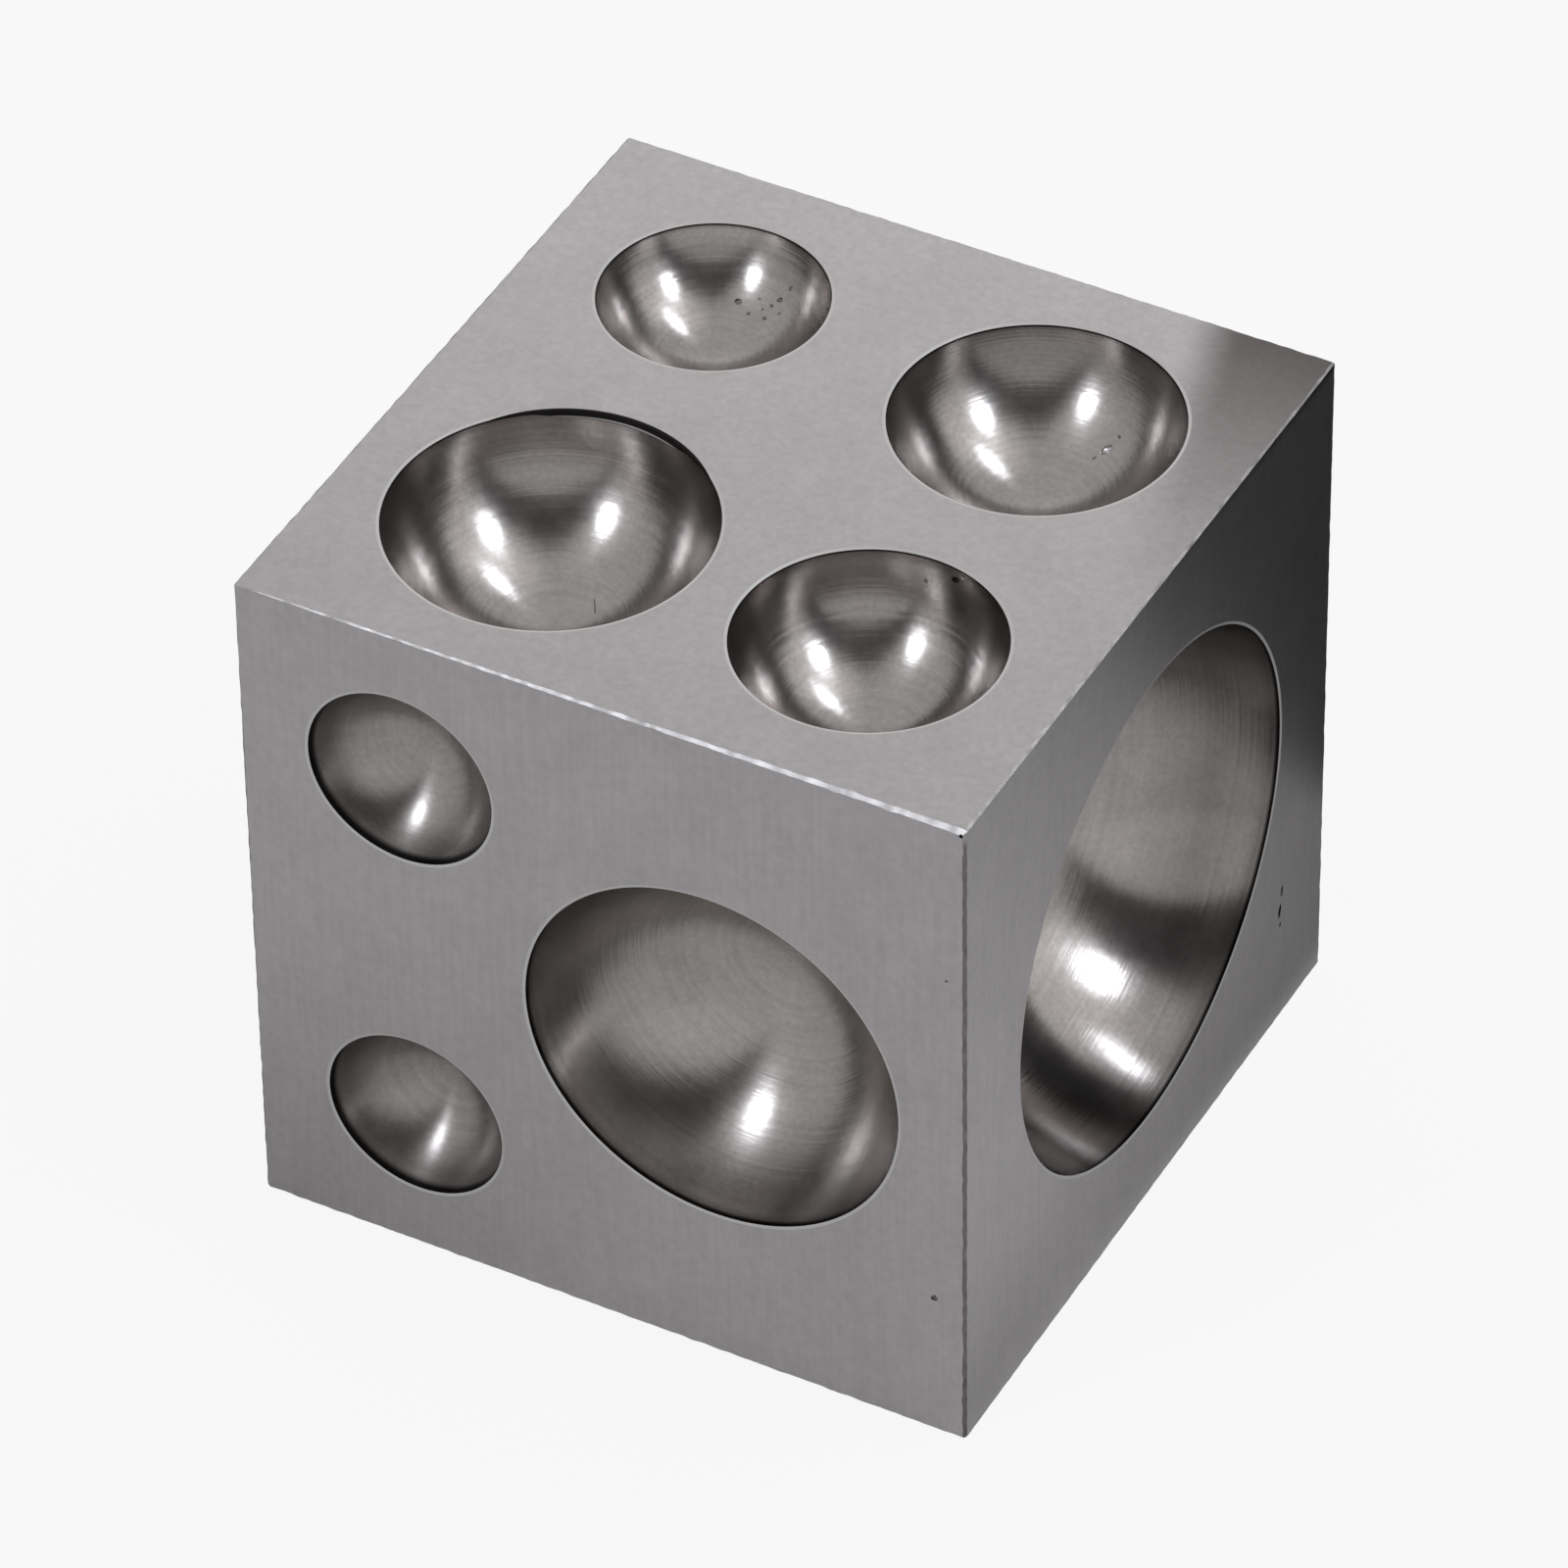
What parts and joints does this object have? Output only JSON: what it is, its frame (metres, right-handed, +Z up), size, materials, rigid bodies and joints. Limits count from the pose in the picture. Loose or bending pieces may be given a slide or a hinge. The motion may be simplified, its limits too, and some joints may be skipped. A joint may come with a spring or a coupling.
{
  "type": "dapping block",
  "caption": "Solid steel cube with round cups of graded sizes sunk into every face, in which sheet metal is domed with ball punches.",
  "frame": {"origin": "middle of the base face, on the surface that the block stands on", "axes": "+Z up out of the face with four cups, -Y out of the face with three cups, +X out of the face with the single widest cup"},
  "size_m": [0.0508, 0.0508, 0.0508],
  "materials": {
    "tool_steel": "ground flat faces, satin; cups turned and polished brighter"
  },
  "bodies": {
    "root": {"dapping_block": "tool_steel"}
  },
  "joints": []
}
